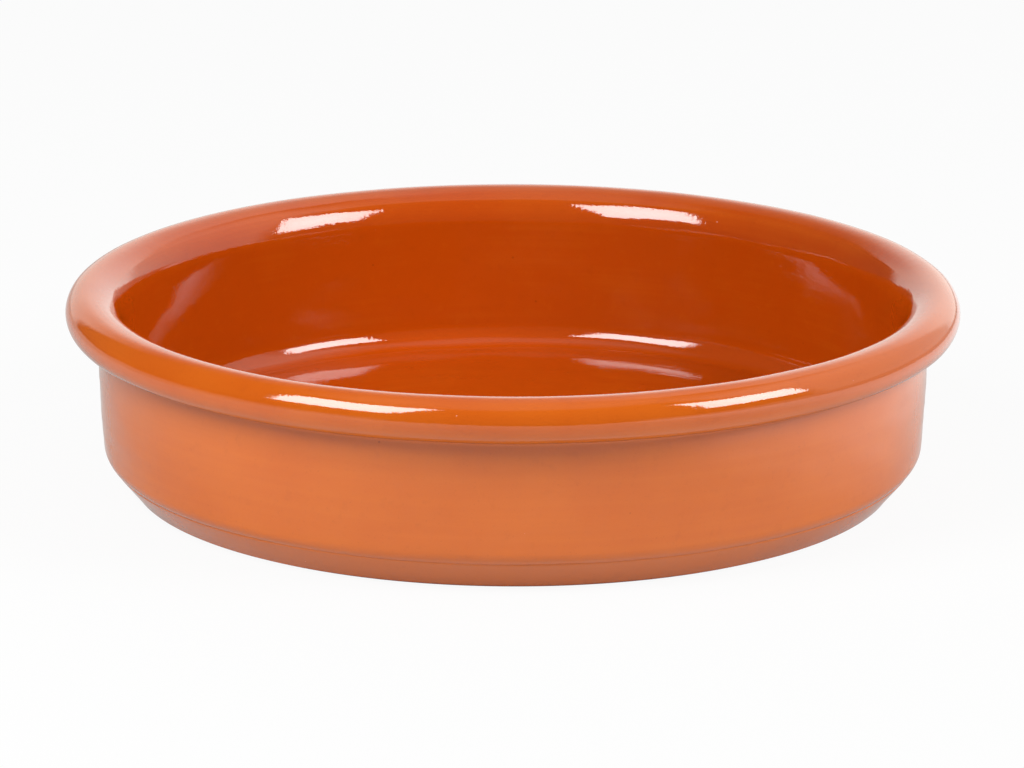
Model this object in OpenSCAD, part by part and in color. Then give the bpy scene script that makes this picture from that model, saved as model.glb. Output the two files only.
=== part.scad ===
// Shallow round dish of red earthenware with a thick rolled rim.
// One clay body is turned in a single lump. A clear glaze coats it inside and
// out, down to a line wiped round the foot, and leaves the base bare.
// The axis of the dish is the Z axis and z = 0 is the table it rests on.

/* [Overall size] */
// Diameter over the glazed rim
rim_d = 145; // [110:1:260]
// Height from the table to the crown of the rim
height = 32.6; // [26:0.1:48]

/* [Rim] */
// Radius of the round bead that forms the outer side of the rim
bead_r = 3.6; // [3.2:0.1:4]
// Radius of the broader curve over the rim's inner half
crown_r = 5.9; // [5.4:0.1:6.4]
// Radius of the roll that leads from the rim down into the hollow
lip_r = 7; // [6.5:0.1:8]
// Width of the rim, from its outer edge to the wall of the hollow
lip_w = 9.2; // [9:0.05:9.4]
// Depth below the crown at which that roll ends and the wall begins
lip_drop = 6; // [5.6:0.1:6.4]
// Radius of the hollow corner between the bead and the wall
neck_r = 1.2; // [0.6:0.1:2]

/* [Wall] */
// Thickness of the wall at its top
wall_t = 4.1; // [3.4:0.05:4.6]
// Radius of the wall's slight outward bow
wall_bow_r = 300; // [200:10:600]
// Inward lean of the hollow's wall, in degrees
draft = 0.25; // [0:0.25:3]
// Radius where the hollow's wall meets the floor
cove_r = 3.8; // [3:0.1:8]

/* [Foot] */
// Thickness of the floor with its glaze
floor_t = 5.6; // [3:0.1:6]
// Radius where the wall turns in above the foot
heel_r = 2.8; // [2:0.1:4]
// Height of the middle of that turn
heel_z = 7.25; // [7:0.05:8]
// Radius of the fine ridge along the top of the foot
ridge_r = 0.6; // [0.5:0.1:1]
// Height of the middle of the ridge
ridge_z = 5; // [4.9:0.05:5.1]
// How far the ridge and the band below it stand proud of the turn
ridge_proud = 0.05; // [0.05:0.05:0.2]
// Angle between that band and the table, in degrees
band_angle = 50; // [44:1:54]
// Radius of the foot's lower edge
foot_edge_r = 2; // [1.6:0.1:3]

/* [Glaze] */
// Thickness of the glaze
glaze_t = 0.3; // [0.2:0.05:0.4]
// Height of the line below which the glaze is wiped off
wipe_z = 0.5; // [0.3:0.1:2]

/* [Hidden] */
$fn = 192;
bow_fn = 1500;
margin = 5;
// Discs that meet a neighbour tangentially are drawn larger by this much, so
// that the two outlines cross cleanly.
lap = 0.005;

rim_r = rim_d / 2;
bead_centre = [rim_r - bead_r, height - bead_r];

// The broader curve starts from the crown of the bead. The roll of the lip is
// tangent to the hollow's wall and meets that curve in a faint edge.
crown_centre = [bead_centre.x, height - crown_r - lap];
hollow_r = rim_r - lip_w;
lip_z = height - lip_drop;
lip_centre = [hollow_r + lip_r - lap, lip_z];

// The wall's outer face is one long arc that stands upright beside the bead.
wall_mid_r = hollow_r + wall_t / 2;
bow_centre = [hollow_r + wall_t - wall_bow_r, bead_centre.y];
neck_centre = meet(bow_centre, wall_bow_r + neck_r, bead_centre, bead_r + neck_r);
heel_drop = bow_centre.y - heel_z;
heel_centre = bow_centre + [sqrt(pow(wall_bow_r - heel_r, 2) - pow(heel_drop, 2)), -heel_drop];
heel_angle = asin(heel_drop / (wall_bow_r - heel_r));

// Cove: one centre serves both the bare clay and the glazed face.
cove_z = floor_t + cove_r;
cove_centre_r = hollow_r - (lip_z - cove_z) * tan(draft) - cove_r / cos(draft);

// Foot: a flat slanting band joins the ridge to the lower edge, tangent to
// both. slant is the direction the band faces.
slant = [sin(band_angle), -cos(band_angle)];
band_offset = heel_centre * slant + heel_r + ridge_proud;
ridge_centre = band_tangent(ridge_r, ridge_z);

// Middle, at height z, of a circle of radius r that touches the band inside.
function band_tangent(r, z) = [(band_offset - r - slant.y * z) / slant.x, z];

// The point to the right of the line from a to b where circles of radius ra
// around a and rb around b cross.
function meet(a, ra, b, rb) =
    let (d = norm(b - a), along = (b - a) / d,
         t = (ra * ra - rb * rb + d * d) / (2 * d), side = sqrt(ra * ra - t * t))
    a + along * t + [along.y, -along.x] * side;

module disc(centre, r) {
    translate(centre) circle(r);
}

// The modules below draw the half section. Each one sets its surface back by e
// from the glazed size, so 0 gives the glazed dish and glaze_t the bare clay.

// Rim: the round bead, and inside its crown the broader curve and the lip. The
// bead's centre moves in and down by its lap, which keeps the rim's edge and
// crown where they are.
module rim(e) {
    low_z = lip_z - margin;
    disc(bead_centre - [lap, lap], bead_r - e + lap);
    intersection() {
        disc(crown_centre, crown_r - e);
        disc(lip_centre, lip_r - e);
        polygon([[0, low_z], [wall_mid_r, low_z], [wall_mid_r, lip_z],
                 [bead_centre.x, lip_z], [bead_centre.x, height], [0, height]]);
    }
}

// Hollow of the dish, which e makes deeper and wider. The cove's centre moves
// up by its lap, so that the cove still runs level into the floor.
module hollow(e) {
    r = cove_r + e;
    lean = [sin(draft), cos(draft)];
    start = [cove_centre_r, cove_z] + r * [lean.y, -lean.x];
    rise = (height + margin - start.y) / lean.y;
    translate([0, cove_z - r]) square([cove_centre_r, height]);
    disc([cove_centre_r, cove_z + lap], r + lap);
    polygon([[0, start.y], start, start + rise * lean, [0, height + margin]]);
}

// Wall up to the lip, with the heel that turns it in.
module drum(e) {
    r = heel_r - e;
    heel_top = heel_z - r * sin(heel_angle);
    intersection() {
        disc(bow_centre, wall_bow_r - e, $fn = bow_fn);
        translate([0, heel_top]) square([rim_r, lip_z - heel_top]);
    }
    disc(heel_centre, r + lap);
    translate([0, ridge_z]) square([heel_centre.x, heel_z - ridge_z]);
}

// Foot under the wall: ridge, slanting band and rounded lower edge. The base
// stays on the table whatever e is.
module foot(e) {
    edge_r = foot_edge_r - e;
    edge_centre = [band_tangent(foot_edge_r, edge_r).x, edge_r];
    disc(ridge_centre, ridge_r - e + lap);
    disc(edge_centre, edge_r + lap);
    polygon([[0, 0], [edge_centre.x, 0], edge_centre + edge_r * slant,
             ridge_centre + (ridge_r - e) * slant, ridge_centre, [0, ridge_z]]);
}

// Filling of the corner between the bead and the wall.
module neck(e) {
    difference() {
        translate([wall_mid_r, neck_centre.y])
            square([neck_centre.x - wall_mid_r, bead_centre.y - neck_centre.y]);
        disc(neck_centre, neck_r + e + lap);
    }
}

module section(e) {
    rim(e);
    neck(e);
    difference() {
        union() {
            drum(e);
            foot(e);
        }
        hollow(e);
    }
}

module clay_body() {
    color("#d1714a")
        rotate_extrude()
            intersection() {
                section(glaze_t);
                square([rim_r, height]);
            }
}

module glaze_coat() {
    color("#c04a05")
        rotate_extrude()
            difference() {
                intersection() {
                    section(0);
                    translate([0, wipe_z]) square([rim_r, height]);
                }
                section(glaze_t);
            }
}

clay_body();
glaze_coat();
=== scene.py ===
"""Shallow round terracotta dish, clear-glazed inside and out, on a pale table.

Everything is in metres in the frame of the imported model: +Z is the axis of the
dish, z = 0 is the surface it rests on and the camera looks along +Y. The dish is
two pieces, the clay body and the glaze over it. Each is an outline turned round
the axis, with the small unevenness of a hand-finished dish added to it.
"""

import math

import bpy
import numpy as np
from mathutils import Matrix, Vector


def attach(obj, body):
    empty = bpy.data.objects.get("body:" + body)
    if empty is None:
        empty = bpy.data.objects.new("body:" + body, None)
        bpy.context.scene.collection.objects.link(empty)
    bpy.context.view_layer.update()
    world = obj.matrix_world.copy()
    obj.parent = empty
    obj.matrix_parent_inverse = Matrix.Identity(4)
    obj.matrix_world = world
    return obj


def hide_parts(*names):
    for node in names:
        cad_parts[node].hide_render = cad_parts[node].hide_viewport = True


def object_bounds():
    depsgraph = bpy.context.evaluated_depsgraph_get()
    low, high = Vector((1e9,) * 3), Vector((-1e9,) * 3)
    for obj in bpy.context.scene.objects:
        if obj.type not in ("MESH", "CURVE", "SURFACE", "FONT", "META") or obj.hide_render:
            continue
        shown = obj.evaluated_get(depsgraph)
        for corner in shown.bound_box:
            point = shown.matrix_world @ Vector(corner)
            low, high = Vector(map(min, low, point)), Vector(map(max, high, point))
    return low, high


MM = 0.001
TAU = 2 * math.pi

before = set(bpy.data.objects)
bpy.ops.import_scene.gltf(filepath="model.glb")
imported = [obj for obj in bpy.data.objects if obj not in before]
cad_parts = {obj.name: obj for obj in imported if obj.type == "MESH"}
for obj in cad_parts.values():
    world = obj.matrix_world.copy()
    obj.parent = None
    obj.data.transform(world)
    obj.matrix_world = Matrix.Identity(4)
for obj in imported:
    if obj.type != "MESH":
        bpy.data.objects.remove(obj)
cad_low, cad_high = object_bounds()

# ---------------------------------------------------------------------------
# Sizes of the dish
# ---------------------------------------------------------------------------
# The even shape is drawn smaller than the CAD model by this much at the rim's
# edge and crown, so that the unevenness stays inside the CAD model's box.
SLACK = 0.08 * MM
RIM_R = (cad_high.x - cad_low.x) / 2 - SLACK
HEIGHT = cad_high.z - SLACK

# Rim: the outer bead, the broader curve inside its crown and the lip that rolls
# into the hollow. LIP_EDGE_R softens the faint edge between the last two.
BEAD_R = 3.6 * MM
CROWN_R = 5.9 * MM
LIP_R = 7 * MM
LIP_W = 9.2 * MM
LIP_DROP = 6 * MM
LIP_EDGE_R = 1 * MM
NECK_R = 1.2 * MM

# Wall and floor
WALL_T = 4.1 * MM
BOW_R = 300 * MM
DRAFT = math.radians(0.25)
COVE_R = 3.8 * MM
FLOOR_Z = 5.6 * MM

# Foot: the heel, the fine ridge under it, the slanting band and the lower edge.
# CREASE_R softens the corner between the heel and the ridge.
HEEL_R = 2.8 * MM
HEEL_Z = 7.25 * MM
CREASE_R = 0.8 * MM
RIDGE_R = 0.6 * MM
RIDGE_Z = 5 * MM
RIDGE_PROUD = 0.05 * MM
BAND_ANGLE = math.radians(50)
FOOT_EDGE_R = 2 * MM

GLAZE_T = 0.3 * MM
WIPE_Z = 0.5 * MM
# The glaze ends in a half-round edge whose middle is at this height.
GLAZE_END_Z = WIPE_Z + GLAZE_T / 2

# The points the outline is drawn round, worked out as in the CAD model
bead_centre = np.array([RIM_R - BEAD_R, HEIGHT - BEAD_R])
hollow_r = RIM_R - LIP_W
crown_centre = np.array([bead_centre[0], HEIGHT - CROWN_R])
lip_centre = np.array([hollow_r + LIP_R, HEIGHT - LIP_DROP])
bow_centre = np.array([hollow_r + WALL_T - BOW_R, bead_centre[1]])
heel_drop = bow_centre[1] - HEEL_Z
heel_centre = bow_centre + [math.sqrt((BOW_R - HEEL_R) ** 2 - heel_drop**2), -heel_drop]
cove_z = FLOOR_Z + COVE_R
cove_centre_r = (
    hollow_r - (lip_centre[1] - cove_z) * math.tan(DRAFT) - COVE_R / math.cos(DRAFT)
)
slant = np.array([math.sin(BAND_ANGLE), -math.cos(BAND_ANGLE)])
band_offset = heel_centre @ slant + HEEL_R + RIDGE_PROUD

# ---------------------------------------------------------------------------
# Outlines: arrays of (radius, height) points
# ---------------------------------------------------------------------------
# Spacing of the points, closer where the outline bends more
FLOOR_STEP = 1.3 * MM
HOLLOW_WALL_STEP = 1.1 * MM
OUTER_WALL_STEP = 1 * MM
REST_RING_STEP = 0.8 * MM
BASE_STEP = 0.75 * MM
ROLL_STEP = 0.5 * MM
CROWN_STEP = 0.4 * MM
BEAD_STEP = 0.35 * MM
FOOT_EDGE_STEP = 0.25 * MM
CORNER_STEP = 0.2 * MM
RIDGE_STEP = 0.1 * MM
LIP_EDGE_STEP = 0.08 * MM
LARGEST_TURN = 9
SAME_POINT = 0.01 * MM


def arc(centre, radius, start, end, step):
    """Points on a circle from angle start to end, in degrees, spaced by step or
    closer, and turning by LARGEST_TURN degrees or less from one to the next."""
    turn = abs(end - start)
    by_length = math.ceil(math.radians(turn) * radius / step)
    count = max(3, by_length, math.ceil(turn / LARGEST_TURN))
    bearings = np.radians(np.linspace(start, end, count + 1))
    return np.asarray(centre) + radius * np.column_stack([np.cos(bearings), np.sin(bearings)])


def line(start, end, step):
    """Points on the straight way from start to end, spaced by step or closer."""
    count = max(2, math.ceil(math.dist(start, end) / step))
    return np.linspace(start, end, count + 1)


def chain(*parts):
    """Joins outlines end to end, leaving out points that repeat the one before."""
    points = np.vstack(parts)
    gaps = np.linalg.norm(np.diff(points, axis=0), axis=1)
    return points[np.concatenate([[True], gaps > SAME_POINT])]


def circles_meet(centre_a, radius_a, centre_b, radius_b):
    """Where two circles cross, to the right of the way from a to b."""
    gap = np.linalg.norm(centre_b - centre_a)
    along = (centre_b - centre_a) / gap
    t = (radius_a**2 - radius_b**2 + gap**2) / (2 * gap)
    side = math.sqrt(radius_a**2 - t**2)
    return centre_a + along * t + np.array([along[1], -along[0]]) * side


def heading(start, end):
    """Angle in degrees, from 0 to 360, of the way from start to end."""
    way = end - start
    return math.degrees(math.atan2(way[1], way[0])) % 360


def touching_band(radius, z):
    """Middle, at height z, of a circle that touches the foot's band inside."""
    return np.array([(band_offset - radius - slant[1] * z) / slant[0], z])


def hollow_outline(e):
    """From the axis over the floor, up the hollow and over the rim to its
    widest point, with the surface set back by e."""
    lean = math.degrees(DRAFT)
    edge = circles_meet(lip_centre, LIP_R - LIP_EDGE_R, crown_centre, CROWN_R - LIP_EDGE_R)
    lip_end = heading(lip_centre, edge)
    crown_start = heading(crown_centre, edge)
    cove = arc((cove_centre_r, cove_z), COVE_R + e, -90, -lean, ROLL_STEP)
    lip = arc(lip_centre, LIP_R - e, 180, lip_end, ROLL_STEP)
    return chain(
        line((0, FLOOR_Z - e), cove[0], FLOOR_STEP),
        cove,
        line(cove[-1], lip[0], HOLLOW_WALL_STEP),
        lip,
        arc(edge, LIP_EDGE_R - e, lip_end, crown_start, LIP_EDGE_STEP),
        arc(crown_centre, CROWN_R - e, crown_start, 90, CROWN_STEP),
        arc(bead_centre, BEAD_R - e, 90, 0, BEAD_STEP),
    )


def outer_outline(e):
    """From the rim's widest point down the outside to the foot's lower edge,
    with the surface set back by e."""
    neck = circles_meet(bow_centre, BOW_R + NECK_R, bead_centre, BEAD_R + NECK_R)
    ridge = touching_band(RIDGE_R, RIDGE_Z)
    edge = touching_band(FOOT_EDGE_R, FOOT_EDGE_R - e)
    crease = circles_meet(heel_centre, HEEL_R + CREASE_R, ridge, RIDGE_R + CREASE_R)

    bead_end = heading(bead_centre, neck) - 360
    wall_start = heading(bow_centre, neck) - 360
    wall_end = heading(bow_centre, heel_centre) - 360
    heel_end = heading(heel_centre, crease) - 360
    neck_turn = (heading(neck, bead_centre), heading(neck, bow_centre))
    crease_turn = (heading(crease, heel_centre), heading(crease, ridge))
    band = math.degrees(BAND_ANGLE) - 90
    return chain(
        arc(bead_centre, BEAD_R - e, 0, bead_end, BEAD_STEP),
        arc(neck, NECK_R + e, *neck_turn, CORNER_STEP),
        arc(bow_centre, BOW_R - e, wall_start, wall_end, OUTER_WALL_STEP),
        arc(heel_centre, HEEL_R - e, wall_end, heel_end, CORNER_STEP),
        arc(crease, CREASE_R + e, *crease_turn, RIDGE_STEP),
        arc(ridge, RIDGE_R - e, heading(ridge, crease), band, RIDGE_STEP),
        arc(edge, FOOT_EDGE_R - e, band, -90, FOOT_EDGE_STEP),
    )


def above(outline, z):
    """The part of an outline that ends going down through height z, cut there."""
    last = np.nonzero(outline[:, 1] > z)[0][-1]
    a, b = outline[last], outline[last + 1]
    cut = a + (b - a) * (a[1] - z) / (a[1] - b[1])
    return np.vstack([outline[: last + 1], cut])


def thinned(outline, sag):
    """The outline with only the points it needs to stay within sag of itself."""
    kept = [0]
    for i in range(2, len(outline)):
        start = outline[kept[-1]]
        way = (outline[i] - start) / np.linalg.norm(outline[i] - start)
        between = outline[kept[-1] + 1 : i] - start
        if np.abs(between[:, 0] * way[1] - between[:, 1] * way[0]).max() > sag:
            kept.append(i - 1)
    return outline[kept + [len(outline) - 1]]


def normals(outline):
    """Unit normals, to the left of the way along the outline."""
    way = np.gradient(outline, axis=0)
    across = np.column_stack([-way[:, 1], way[:, 0]])
    return across / np.linalg.norm(across, axis=1, keepdims=True)


def lengths(outline):
    """Distance along the outline to each of its points."""
    steps = np.linalg.norm(np.diff(outline, axis=0), axis=1)
    return np.concatenate([[0], np.cumsum(steps)])


def curvature(outline):
    """How sharply the outline turns towards its solid side, in radians per metre
    of length, evened out over about a millimetre."""
    along = lengths(outline)
    across = normals(outline)
    bearing = np.unwrap(np.arctan2(across[:, 1], across[:, 0]))
    bend = -np.gradient(bearing, along)
    weight = np.exp(-(((along[:, None] - along[None, :]) / MM) ** 2))
    weight *= np.gradient(along)
    return (weight * bend).sum(axis=1) / weight.sum(axis=1)


# ---------------------------------------------------------------------------
# Unevenness of a hand-finished dish
# ---------------------------------------------------------------------------
SEGMENTS = 384
angles = np.arange(SEGMENTS) * TAU / SEGMENTS

# Shallow rings left by turning on the outer part of the floor, and a finer
# raised one among them
RINGS_START_R = 38 * MM
RING_PITCH = 2.2 * MM
RING_HEIGHT = 0.012 * MM
RING_WAVER = 0.6
RAISED_RING_R = 54.6 * MM
RAISED_RING_W = 0.5 * MM
RAISED_RING_HEIGHT = 0.035 * MM
# The unevenness fades out over this radius towards the axis.
CENTRE_R = 12 * MM

# Ripples in the glaze: height and usual wave on the rim, and what is added low
# in the hollow and down the outside
RIPPLE = 0.012 * MM
RIPPLE_WAVE = 9 * MM
HOLLOW_RIPPLE = 0.006 * MM
WALL_RIPPLE = 0.014 * MM
WALL_RIPPLE_WAVE = 8 * MM
TOOLING = 0.01 * MM
TOOLING_WAVE = 2.6 * MM

# Slow wobble of the whole rim, which fades out this far below the crown
WOBBLE = 0.02 * MM
WOBBLE_DEPTH = 10 * MM
# The inside's and the outside's ripples give way to the rim's this far from the
# rim's widest point, and everything fades to nothing just above the wiped line.
SEAM_REACH = 4 * MM
FOOT_FADE = 1.5 * MM

# The base rests on a rubbed ring and rises a little inside it, with grooves.
REST_RING_W = 6 * MM
BASE_RISE = 0.4 * MM
BASE_RISE_W = 4 * MM
GROOVE_PITCH = 2.4 * MM
GROOVE_HEIGHT = 0.03 * MM
GROOVE_WAVER = 0.5
GROOVE_CENTRE_R = 10 * MM


def ripple(rng, along, waves, around, length, spread=0.5):
    """Smooth random waves over a turned surface, about one unit high: rows
    follow the outline and columns go round. around is the most waves round the
    axis, length the usual wave along the outline, spread how much that varies."""
    total = np.zeros((len(along), SEGMENTS))
    for _ in range(waves):
        turns = rng.integers(0, around + 1)
        pitch = length * math.exp(spread * rng.normal())
        lean = rng.choice([-1, 1])
        phase = rng.uniform(0, TAU)
        total += np.cos(turns * angles + lean * TAU * along[:, None] / pitch + phase)
    return total * math.sqrt(2 / waves)


def hump(x, centre, width):
    """A smooth hump of height 1."""
    return np.exp(-(((x - centre) / width) ** 2))


def ease(x, start, end):
    """0 before start and 1 after end, with a smooth rise between them."""
    t = np.clip((x - start) / (end - start), 0, 1)
    return t * t * (3 - 2 * t)


def hollow_relief(rng, outline):
    """Height of the unevenness over the floor, the hollow's wall and the lip."""
    along = lengths(outline)
    radius = outline[:, 0][:, None]
    height = outline[:, 1][:, None]
    waver = RING_WAVER * ripple(rng, along, waves=8, around=3, length=20 * MM)
    rings = np.cos(TAU * radius / RING_PITCH + waver)
    near_wall = ease(radius, RINGS_START_R, hollow_r - COVE_R)
    on_floor = 1 - ease(height, FLOOR_Z + 0.3 * MM, FLOOR_Z + 2 * MM)
    raised = hump(radius, RAISED_RING_R, RAISED_RING_W)
    relief = (RING_HEIGHT * rings * near_wall + RAISED_RING_HEIGHT * raised) * on_floor
    # The glaze lies thicker and wavier low in the hollow than on the lip.
    low = 1 - ease(height, cove_z, lip_centre[1])
    waves = ripple(rng, along, waves=40, around=26, length=RIPPLE_WAVE)
    relief = relief + (RIPPLE + HOLLOW_RIPPLE * low) * waves
    return relief * ease(radius, 0, CENTRE_R)


def outer_relief(rng, outline):
    """Height of the unevenness over the outer half of the rim and the wall."""
    along = lengths(outline)
    height = outline[:, 1][:, None]
    wall_top = bead_centre[1] - 5 * MM
    under_rim = ease(height, wall_top - 2 * MM, wall_top)
    on_wall = ease(height, HEEL_Z, HEEL_Z + 3 * MM) * (1 - under_rim)
    waves = ripple(rng, along, waves=40, around=30, length=WALL_RIPPLE_WAVE)
    tooling = ripple(rng, along, waves=10, around=2, length=TOOLING_WAVE, spread=0.25)
    return (RIPPLE + WALL_RIPPLE * on_wall) * waves + TOOLING * tooling * on_wall


def glaze_relief(rng, outline, widest):
    """Height of the unevenness over all of the glaze that shows. widest is the
    row at the rim's widest point, where the inside gives way to the outside."""
    along = lengths(outline)
    height = outline[:, 1]
    inside = hollow_relief(rng, outline[:widest])
    outside = outer_relief(rng, outline[widest:])
    rim = RIPPLE * ripple(rng, along, waves=40, around=26, length=RIPPLE_WAVE)
    share = ease(np.abs(along - along[widest]), 0, SEAM_REACH)[:, None]
    relief = np.vstack([inside, outside]) * share + rim * (1 - share)
    crown = ease(height, HEIGHT - WOBBLE_DEPTH, HEIGHT)[:, None]
    relief += WOBBLE * crown * (np.cos(2 * angles + 1) + 0.7 * np.cos(3 * angles + 2.5))
    relief[widest:] *= ease(height[widest:], WIPE_Z, WIPE_Z + FOOT_FADE)[:, None]
    return relief


def glaze_thinness_and_painted_light(outline, widest):
    """The glaze's thinness, with painted light and shade in it. The glaze is thick in the hollow,
    thinner on the rim and thinnest outside, and it thins further where the surface bulges.
    The deeper hollow is partly painted shade, and the paler outside, from under the bead
    down, is partly painted light from the bright table in front."""
    away = lengths(outline) - lengths(outline)[widest]
    # Painted shade: the hollow is kept deeper than the lip, for its thicker glaze and for the shade
    # in it.
    over_lip = ease(away, -10 * MM, -3 * MM)
    # Painted light: the outside turns paler from under the bead down, for the light the bright table
    # throws on it.
    down_wall = ease(-outline[:, 1], -bead_centre[1], BEAD_R - bead_centre[1])
    level = 0.5 * over_lip + np.where(away >= 0, 0.4 * down_wall, 0)
    bulge = np.clip(curvature(outline) * 1.2 * MM, -1, 1)
    return level + 0.2 * bulge


def base_lift(rng, outline, rest_r):
    """How far the base rises inside the ring it rests on, whose outer radius is
    rest_r."""
    along = lengths(outline)
    radius = outline[:, 0][:, None]
    rise = ease(rest_r - radius, REST_RING_W, REST_RING_W + BASE_RISE_W)
    waver = GROOVE_WAVER * ripple(rng, along, waves=6, around=2, length=30 * MM)
    grooves = GROOVE_HEIGHT * (1 + np.cos(TAU * radius / GROOVE_PITCH + waver))
    waves = RIPPLE * ripple(rng, along, waves=24, around=20, length=7 * MM)
    return rise * (BASE_RISE + (grooves + waves) * ease(radius, 0, GROOVE_CENTRE_R))


# ---------------------------------------------------------------------------
# The two turned pieces
# ---------------------------------------------------------------------------
# How far the surfaces between the clay and the glaze, which never show, may stray
HIDDEN_SAG = 0.09 * MM
EDGE_ROWS = 5
# Above this height the glaze hides the clay.
CLAY_SHOWS_Z = 2 * WIPE_Z


def turned(name, outline, relief, thin_and_painted_light):
    """A closed solid turned from an outline that starts and ends on the axis.
    relief moves the surface out, with a row for each point of the outline and a
    column for each segment. The last argument, the glaze's thinness with painted
    light and shade in it, is stored for the material."""
    across = normals(outline)
    radii = outline[:, 0][:, None] + across[:, 0][:, None] * relief
    heights = outline[:, 1][:, None] + across[:, 1][:, None] * relief
    x = (radii * np.cos(angles))[1:-1]
    y = (radii * np.sin(angles))[1:-1]
    z = heights[1:-1]
    points = np.stack([x, y, z], axis=-1).reshape(-1, 3)
    rows = len(outline) - 2
    first = len(points)
    last = first + 1
    points = np.vstack([points, [0, 0, outline[0, 1]], [0, 0, outline[-1, 1]]])

    ring = np.arange(SEGMENTS)
    following = (ring + 1) % SEGMENTS
    starts = (np.arange(rows - 1) * SEGMENTS)[:, None]
    corners = [ring, SEGMENTS + ring, SEGMENTS + following, following]
    quads = np.stack([starts + corner for corner in corners], axis=-1).reshape(-1, 4)
    end_row = (rows - 1) * SEGMENTS
    first_fan = np.column_stack([np.full(SEGMENTS, first), ring, following])
    last_fan = np.column_stack([np.full(SEGMENTS, last), end_row + following, end_row + ring])
    faces = quads.tolist() + first_fan.tolist() + last_fan.tolist()
    mesh = bpy.data.meshes.new(name)
    mesh.from_pydata(points.tolist(), [], faces)
    mesh.shade_smooth()
    per_point = np.concatenate([np.repeat(thin_and_painted_light[1:-1], SEGMENTS), [thin_and_painted_light[0], thin_and_painted_light[-1]]])
    attribute = mesh.attributes.new("thin_and_painted_light", "FLOAT", "POINT")
    attribute.data.foreach_set("value", per_point.astype(np.float32))
    piece = bpy.data.objects.new(name, mesh)
    bpy.context.scene.collection.objects.link(piece)
    return piece


def under_glaze(z):
    """Outline of the clay's glazed surface, from the axis to height z outside."""
    outline = np.vstack([hollow_outline(GLAZE_T), outer_outline(GLAZE_T)[1:]])
    return thinned(above(outline, z), HIDDEN_SAG)


def glaze_piece():
    rng = np.random.default_rng(5)
    hollow = hollow_outline(0)
    outside = above(outer_outline(0), GLAZE_END_Z)
    shown = chain(hollow, outside)
    back = under_glaze(GLAZE_END_Z)[::-1]

    # The rounded edge at the wiped line joins the shown surface to the back.
    middle = (outside[-1] + back[0]) / 2
    half = (outside[-1] - back[0]) / 2
    turn = np.linspace(0, math.pi, EDGE_ROWS + 2)[1:-1, None]
    edge = middle + half * np.cos(turn) + [[0, -GLAZE_T / 2]] * np.sin(turn)

    outline = np.vstack([shown, edge, back])
    relief = np.zeros((len(outline), SEGMENTS))
    relief[: len(shown)] = glaze_relief(rng, shown, len(hollow))
    thin_and_painted_light = np.zeros(len(outline))
    # The glaze's thinness, with painted light outside and painted shade in the hollow
    thin_and_painted_light[: len(shown)] = glaze_thinness_and_painted_light(shown, len(hollow))
    return turned("dish_glaze", outline, relief, thin_and_painted_light)


def clay_piece():
    rng = np.random.default_rng(8)
    hidden = under_glaze(CLAY_SHOWS_Z)
    foot = outer_outline(GLAZE_T)
    foot = foot[foot[:, 1] < CLAY_SHOWS_Z - 0.05 * MM]
    rest_r = foot[-1, 0]
    ring_end = (rest_r - REST_RING_W, 0)
    ring = line(foot[-1], ring_end, REST_RING_STEP)
    outline = chain(hidden, foot, ring, line(ring_end, (0, 0), BASE_STEP))
    lift = base_lift(rng, outline, rest_r)
    lift[: len(hidden) + len(foot)] = 0
    # The last point is on the axis and has no row of its own in the relief.
    outline[-1, 1] += BASE_RISE
    lift[-1] = 0
    return turned("dish_clay", outline, -lift, np.zeros(len(outline)))


# ---------------------------------------------------------------------------
# Materials
# ---------------------------------------------------------------------------
GLAZE_IOR = 1.62
# Colours of the glazed clay: under thicker glaze, and partly painted shade in the
# hollow; under thinner glaze, and partly painted light outside; and iron spots
DEEP = (0.395, 0.050, 0.0012, 1)
PALE = (0.525, 0.113, 0.0070, 1)
IRON = (0.200, 0.029, 0.0015, 1)
# Colours of the bare clay
CLAY_DARK = (0.270, 0.082, 0.034, 1)
CLAY_MIDDLE = (0.400, 0.140, 0.062, 1)
CLAY_LIGHT = (0.520, 0.225, 0.120, 1)
SOOT = (0.120, 0.052, 0.030, 1)


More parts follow.
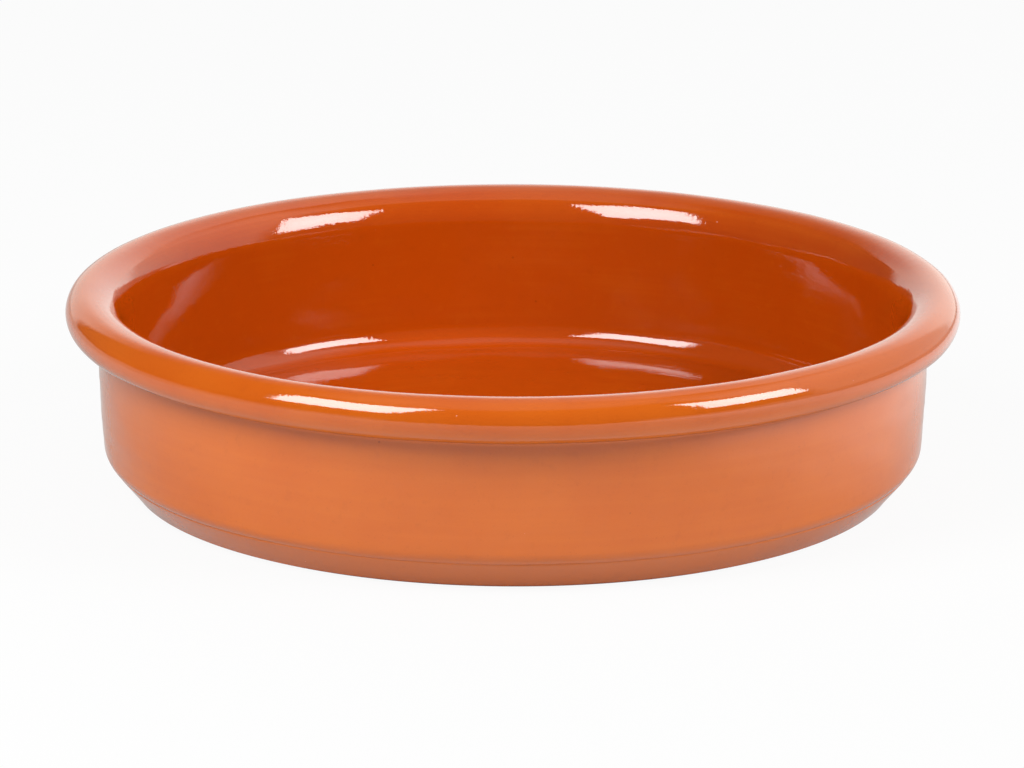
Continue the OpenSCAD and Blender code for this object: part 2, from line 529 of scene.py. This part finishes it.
class Graph:
    """Builds a node tree from its inputs to its outputs."""

    def __init__(self, tree):
        self.tree = tree
        tree.nodes.clear()

    def node(self, kind, inputs, **settings):
        """Adds a node and fills its inputs with values or links."""
        node = self.tree.nodes.new("ShaderNode" + kind)
        for key, value in settings.items():
            setattr(node, key, value)
        for key, value in inputs.items():
            if isinstance(value, bpy.types.NodeSocket):
                self.tree.links.new(value, node.inputs[key])
            else:
                node.inputs[key].default_value = value
        return node

    def add(self, kind, inputs=None, output=0, **settings):
        """Adds a node and returns one of its outputs."""
        return self.node(kind, inputs or {}, **settings).outputs[output]

    def math(self, operation, a, b=0.0):
        return self.add("Math", {0: a, 1: b}, operation=operation)

    def plus(self, total, *terms):
        """total plus the terms, which are pairs of a value and its weight."""
        for value, weight in terms:
            total = self.math("ADD", total, self.math("MULTIPLY", value, weight))
        return total

    def axes(self, vector):
        """The x, y and z of a vector."""
        return tuple(self.node("SeparateXYZ", {0: vector}).outputs)

    def length(self, vector):
        return self.add("VectorMath", {0: vector}, "Value", operation="LENGTH")

    def flat(self, place):
        """The place with its height left out."""
        return self.add("VectorMath", {0: place, 1: (1, 1, 0)}, operation="MULTIPLY")

    def ramp(self, value, low, high, out_low=0.0, out_high=1.0):
        """Smooth rise from out_low to out_high as value goes from low to high."""
        inputs = {"Value": value, "From Min": low, "From Max": high}
        inputs |= {"To Min": out_low, "To Max": out_high}
        return self.add("MapRange", inputs, interpolation_type="SMOOTHSTEP")

    def blend(self, factor, a, b):
        """Number a, going over to b as factor goes from 0 to 1."""
        return self.add("MapRange", {"Value": factor, "To Min": a, "To Max": b})

    def mix(self, factor, a, b):
        """Colour a, going over to b as factor goes from 0 to 1."""
        return self.add("Mix", {0: factor, 6: a, 7: b}, 2, data_type="RGBA")

    def noise(self, place, scale, detail=3.0, roughness=0.5):
        inputs = {"Vector": place, "Scale": scale, "Detail": detail, "Roughness": roughness}
        return self.add("TexNoise", inputs)

    def bump(self, height, strength=1.0):
        """Bump from a height in millimetres."""
        return self.add("Bump", {"Height": height, "Distance": MM, "Strength": strength})


def new_material(name):
    """A material and the graph of its nodes."""
    material = bpy.data.materials.new(name)
    material.use_nodes = True
    return material, Graph(material.node_tree)


def millimetres(graph):
    """The place on the object, in millimetres."""
    place = graph.add("TexCoord", output="Object")
    return graph.add("VectorMath", {0: place, "Scale": 1 / MM}, operation="SCALE")


def turning_place(graph, place, across, around):
    """A place that is stretched round the axis, for marks left by turning:
    across is the scale over the marks and around the scale along them."""
    flat = graph.flat(place)
    ahead, sideways, _ = graph.axes(graph.add("VectorMath", {0: flat}, operation="NORMALIZE"))
    reach = graph.math("ADD", graph.length(flat), graph.axes(place)[2])
    return graph.add(
        "CombineXYZ",
        {
            0: graph.math("MULTIPLY", reach, across),
            1: graph.math("MULTIPLY", ahead, around),
            2: graph.math("MULTIPLY", sideways, around),
        },
    )


def glaze_material():
    material, graph = new_material("clear_glaze_over_clay")
    place = millimetres(graph)
    # The glaze's stored thinness, which carries painted light outside and painted shade in the hollow
    thin_and_painted_light = graph.add("Attribute", output="Fac", attribute_name="thin_and_painted_light")
    clouds = graph.noise(place, 0.07)
    mottle = graph.noise(place, 0.45, detail=5, roughness=0.6)
    grain = graph.noise(place, 3.0, detail=2)
    marks = graph.noise(turning_place(graph, place, 0.8, 1.3), 1.0, detail=4, roughness=0.65)

    # The colour is deepest where the glaze lies thick, in the hollow, which partly
    # paints in the shade there, and palest outside, which partly paints in light.
    shift = graph.math("ADD", graph.ramp(clouds, 0.3, 0.7, -0.08, 0.08), thin_and_painted_light)
    shift = graph.math("ADD", graph.ramp(marks, 0.35, 0.75, -0.04, 0.06), shift)
    colour = graph.mix(shift, DEEP, PALE)
    colour = graph.mix(graph.ramp(mottle, 0.55, 0.8, 0, 0.12), colour, PALE)
    colour = graph.mix(graph.ramp(mottle, 0.45, 0.25, 0, 0.10), colour, IRON)
    colour = graph.mix(graph.ramp(grain, 0.4, 0.15, 0, 0.25), colour, IRON)

    # A few iron specks in the clay and tiny pinholes in the glaze
    specks = {"Vector": place, "Scale": 0.22}
    in_speck = graph.ramp(graph.add("TexVoronoi", specks, "Distance"), 0.06, 0.02, 0, 0.6)
    chosen = graph.ramp(graph.add("TexVoronoi", specks, "Color"), 0.74, 0.78)
    speck = graph.math("MULTIPLY", in_speck, chosen)
    colour = graph.mix(speck, colour, IRON)
    pinholes = graph.add("TexVoronoi", {"Vector": place, "Scale": 0.16}, "Distance")
    pinhole = graph.ramp(pinholes, 0.025, 0.008)

    gloss = graph.noise(place, 0.25, detail=4)
    roughness = graph.plus(graph.ramp(gloss, 0.35, 0.75, 0.03, 0.075), (pinhole, 0.3))
    peel = graph.noise(place, 0.55, detail=2)
    fine_peel = graph.noise(place, 1.6, detail=2)
    height = graph.math("MULTIPLY", peel, 0.018)
    height = graph.plus(
        height, (fine_peel, 0.012), (marks, 0.012), (pinhole, -0.02), (speck, 0.004)
    )
    surface = graph.add(
        "BsdfPrincipled",
        {
            "Base Color": colour,
            "Roughness": roughness,
            "IOR": GLAZE_IOR,
            "Normal": graph.bump(height),
        },
    )
    graph.node("OutputMaterial", {"Surface": surface})
    return material


def clay_material():
    material, graph = new_material("fired_red_clay")
    place = millimetres(graph)
    clouds = graph.noise(place, 0.06, detail=4)
    grain = graph.noise(place, 2.2, detail=6, roughness=0.7)
    grit = graph.noise(place, 6.0, detail=2)
    marks = graph.noise(turning_place(graph, place, 1.1, 1.6), 1.0, detail=5, roughness=0.7)

    colour = graph.mix(graph.ramp(clouds, 0.3, 0.7), CLAY_DARK, CLAY_MIDDLE)
    colour = graph.mix(graph.ramp(marks, 0.5, 0.8, 0, 0.6), colour, CLAY_LIGHT)
    colour = graph.mix(graph.ramp(grain, 0.55, 0.8, 0, 0.5), colour, CLAY_LIGHT)
    colour = graph.mix(graph.ramp(grain, 0.42, 0.25, 0, 0.7), colour, SOOT)

    # The ring the dish rests on is rubbed smoother and paler.
    rubbed = graph.ramp(graph.axes(place)[2], 0.12, 0.0)
    colour = graph.mix(graph.math("MULTIPLY", rubbed, 0.45), colour, CLAY_LIGHT)
    roughness = graph.plus(graph.ramp(grain, 0.3, 0.7, 0.95, 0.72), (rubbed, -0.15))
    height = graph.plus(graph.math("MULTIPLY", grain, 0.05), (grit, 0.02), (marks, 0.06))
    surface = graph.add(
        "BsdfPrincipled",
        {
            "Base Color": colour,
            "Roughness": roughness,
            "Specular IOR Level": 0.3,
            "Normal": graph.bump(height, strength=0.8),
        },
    )
    graph.node("OutputMaterial", {"Surface": surface})
    return material


# ---------------------------------------------------------------------------
# Studio: a white table, two softboxes and the room around them
# ---------------------------------------------------------------------------
TABLE_HALF_W = 0.196
TABLE_FRONT = -0.218
TABLE_BACK = 0.45
# The table lies this much lower than the base, so that the two never coincide.
TABLE_GAP = 0.05 * MM
TABLE_WHITE = (0.54, 0.54, 0.535, 1)
TABLE_GREY = (0.52, 0.52, 0.52, 1)
TABLE_FIBRE = (0.50, 0.50, 0.495, 1)
# How far the table goes over from a lit surface to a glowing one: as the camera
# sees it, in reflections, where it lights the dish, less so in the shade round
# the foot, and in reflections of its bright right side
TABLE_LIFT = 0.93
TABLE_GLOSS_LIFT = 0.25
TABLE_FILL = 0.6
TABLE_FILL_AT_FOOT = 0.15
TABLE_BESIDE_LIFT = 0.25
# In millimetres from the axis: where the shade round the foot begins and ends,
# and where the table brightens to the right of the dish
SHADE_ENDS = (66, 100)
BRIGHT_SIDE = (60, 120)

LAMP_RADIANCE = 13.0
LAMP_EDGE = 0.85
LAMP_EDGE_R = 0.3

# Radiance of the room: on the dim side, on the bright right side, behind the
# dish (from left to right), overhead, and below the horizon
ROOM_DIM = 0.07
ROOM_BRIGHT = 0.95
ROOM_BACKDROP = (1.0, 1.6)
ROOM_OVERHEAD = 0.45
ROOM_BELOW_FRONT = 0.05
ROOM_BELOW_SIDES = 0.6
# What is left of the backdrop higher up, from left to right
BACKDROP_HIGH = (0.15, 0.6)
ROOM_TINT = (0.97, 1, 0.96, 1)
SEEN_WHITE = 1.1

EYE_LEVEL = Vector((0, 0, 0.029))
CAMERA_ELEVATION = math.radians(14.656)
CAMERA_DISTANCE = 1.0173
CAMERA_ROLL = 0.0026
LENS = 220.46
LENS_SHIFT = (-0.00096, -0.0770)


def table_material():
    material, graph = new_material("white_table")
    place = millimetres(graph)
    clouds = graph.noise(place, 0.01)
    fibre = graph.noise(place, 1.5, detail=4)
    colour = graph.mix(graph.ramp(clouds, 0.3, 0.7), TABLE_GREY, TABLE_WHITE)
    colour = graph.mix(graph.ramp(fibre, 0.4, 0.8, 0, 0.3), colour, TABLE_FIBRE)
    surface = graph.add(
        "BsdfPrincipled",
        {
            "Base Color": colour,
            "Roughness": graph.ramp(fibre, 0.3, 0.7, 0.7, 0.85),
            "Specular IOR Level": 0.15,
            "Normal": graph.bump(graph.math("MULTIPLY", fibre, 0.02)),
        },
    )
    # Seen by the camera, the table is lifted towards white, as a paper sweep
    # burnt out by the exposure, and keeps only a light shadow.
    rays = graph.node("LightPath", {}).outputs
    seen = rays["Is Camera Ray"]
    mirrored = rays["Is Glossy Ray"]
    scattered = rays["Is Diffuse Ray"]
    radius = graph.length(graph.flat(place))
    fill = graph.ramp(radius, *SHADE_ENDS, TABLE_FILL_AT_FOOT, TABLE_FILL)
    # The right lamp makes the table brightest to the right of the dish.
    beside = graph.math("MULTIPLY", graph.ramp(graph.axes(place)[0], *BRIGHT_SIDE), mirrored)
    lift = graph.math("MULTIPLY", seen, TABLE_LIFT)
    lift = graph.plus(lift, (mirrored, TABLE_GLOSS_LIFT), (scattered, fill))
    lift = graph.plus(lift, (beside, TABLE_BESIDE_LIFT))
    strength = graph.math("ADD", 1.0, graph.math("ADD", scattered, beside))
    glow = graph.add("Emission", {"Color": (1, 1, 1, 1), "Strength": strength})
    top = graph.add("MixShader", {0: lift, 1: surface, 2: glow})
    # Looked at from below the table is clear, so that the base can be seen.
    beneath = graph.add("NewGeometry", output="Backfacing")
    passed = graph.math("MINIMUM", rays["Transparent Depth"], 1.0)
    clear = graph.math("MAXIMUM", beneath, passed)
    shown = graph.add("MixShader", {0: clear, 1: top, 2: graph.add("BsdfTransparent")})
    graph.node("OutputMaterial", {"Surface": shown})
    return material


def lamp_material():
    """Front of a softbox: a little brighter in the middle than at the edges."""
    material, graph = new_material("softbox_front")
    off_centre = graph.length(graph.add("TexCoord", output="Object"))
    at_edge = LAMP_EDGE * LAMP_RADIANCE
    strength = graph.ramp(off_centre, 0, LAMP_EDGE_R, LAMP_RADIANCE, at_edge)
    # The back of the softbox gives no light.
    front = graph.math("SUBTRACT", 1.0, graph.add("NewGeometry", output="Backfacing"))
    strength = graph.math("MULTIPLY", strength, front)
    glow = graph.add("Emission", {"Color": (1, 1, 1, 1), "Strength": strength})
    graph.node("OutputMaterial", {"Surface": glow})
    return material


def towards(azimuth, elevation):
    """Unit direction: azimuth 0 towards the camera, 90 to the right."""
    a, e = math.radians(azimuth), math.radians(elevation)
    return Vector((math.sin(a) * math.cos(e), -math.cos(a) * math.cos(e), math.sin(e)))


def sheet(name, corners, material):
    mesh = bpy.data.meshes.new(name)
    mesh.from_pydata(corners, [], [range(len(corners))])
    mesh.materials.append(material)
    piece = bpy.data.objects.new(name, mesh)
    bpy.context.scene.collection.objects.link(piece)
    return piece


def softbox(name, centre_way, distance, facing, width, height):
    """A glowing sheet in the direction centre_way from the dish. facing is the
    direction its back points in; both are (azimuth, elevation) in degrees."""
    away = towards(*facing)
    turn = math.radians(facing[0])
    right = Vector((math.cos(turn), math.sin(turn), 0))
    up = away.cross(right)
    half_w = width / 2
    half_h = height / 2
    corners = [(-half_w, -half_h, 0), (-half_w, half_h, 0), (half_w, half_h, 0), (half_w, -half_h, 0)]
    piece = sheet(name, corners, lamp_material())
    axes = Matrix((right, up, away)).transposed().to_4x4()
    piece.matrix_world = Matrix.Translation(EYE_LEVEL + distance * towards(*centre_way)) @ axes


def table():
    outline = [
        (-TABLE_HALF_W, TABLE_FRONT),
        (TABLE_HALF_W, TABLE_FRONT),
        (TABLE_HALF_W, TABLE_BACK),
        (-TABLE_HALF_W, TABLE_BACK),
    ]
    sheet("table_top", [(x, y, -TABLE_GAP) for x, y in outline], table_material())


def room():
    """The light that comes from the room, by direction."""
    world = bpy.data.worlds.new("room")
    bpy.context.scene.world = world
    world.use_nodes = True
    graph = Graph(world.node_tree)
    x, y, z = graph.axes(graph.add("TexCoord", output="Generated"))
    right = graph.math("MULTIPLY", graph.ramp(x, 0.2, 0.6), graph.ramp(y, -0.3, 0.0))
    light = graph.ramp(right, 0, 1, ROOM_DIM, ROOM_BRIGHT)
    # Behind the dish is a pale backdrop, brightest low down and to the right.
    level = graph.math("SQRT", graph.math("SUBTRACT", 1.0, graph.math("MULTIPLY", z, z)))
    behind = graph.ramp(graph.math("DIVIDE", y, level), 0.80, 0.87)
    backdrop = graph.ramp(x, -0.4, 0.4, *ROOM_BACKDROP)
    high = graph.ramp(x, -0.4, 0.4, *BACKDROP_HIGH)
    backdrop = graph.math("MULTIPLY", backdrop, graph.ramp(z, 0.25, 0.65, 1.0, high))
    light = graph.blend(behind, light, backdrop)
    light = graph.blend(graph.ramp(z, 0.85, 0.97), light, ROOM_OVERHEAD)
    # Below the horizon it is dark only towards the camera.
    aside = graph.ramp(graph.math("ABSOLUTE", x), 0.4, 0.7)
    aside = graph.math("MAXIMUM", aside, graph.ramp(y, -0.3, -0.1))
    below = graph.ramp(aside, 0, 1, ROOM_BELOW_FRONT, ROOM_BELOW_SIDES)
    light = graph.blend(graph.ramp(z, 0.0, -0.05), light, below)
    # The camera itself sees plain white beyond the table.
    seen = graph.add("LightPath", output="Is Camera Ray")
    strength = graph.blend(seen, light, SEEN_WHITE)
    background = graph.add("Background", {"Color": ROOM_TINT, "Strength": strength})
    graph.node("OutputWorld", {"Surface": background})


def camera():
    """A long lens, 15 degrees above the rim."""
    lens = bpy.data.cameras.new("camera")
    lens.sensor_width = 36
    lens.lens = LENS
    lens.shift_x, lens.shift_y = LENS_SHIFT
    lens.clip_start = 0.05
    eye = bpy.data.objects.new("camera", lens)
    way = Vector((0, -math.cos(CAMERA_ELEVATION), math.sin(CAMERA_ELEVATION)))
    eye.location = EYE_LEVEL + CAMERA_DISTANCE * way
    look = Matrix.Rotation(math.pi / 2 - CAMERA_ELEVATION, 4, "X")
    eye.rotation_euler = (look @ Matrix.Rotation(CAMERA_ROLL, 4, "Z")).to_euler()
    bpy.context.scene.collection.objects.link(eye)
    bpy.context.scene.camera = eye


# ---------------------------------------------------------------------------
# Putting it together
# ---------------------------------------------------------------------------
glaze = glaze_piece()
glaze.data.materials.append(glaze_material())
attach(glaze, "root")
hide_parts("glaze_coat")

clay = clay_piece()
clay.data.materials.append(clay_material())
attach(clay, "root")
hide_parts("clay_body")

table()
softbox("softbox_left", (-47.6, 39.7), 0.62, (-41.6, 36.2), width=0.34, height=0.35)
softbox("softbox_right", (67.0, 32.5), 0.98, (44.7, 22.7), width=0.50, height=0.48)
room()
camera()
bpy.context.scene.view_settings.view_transform = "Standard"
bpy.context.view_layer.update()
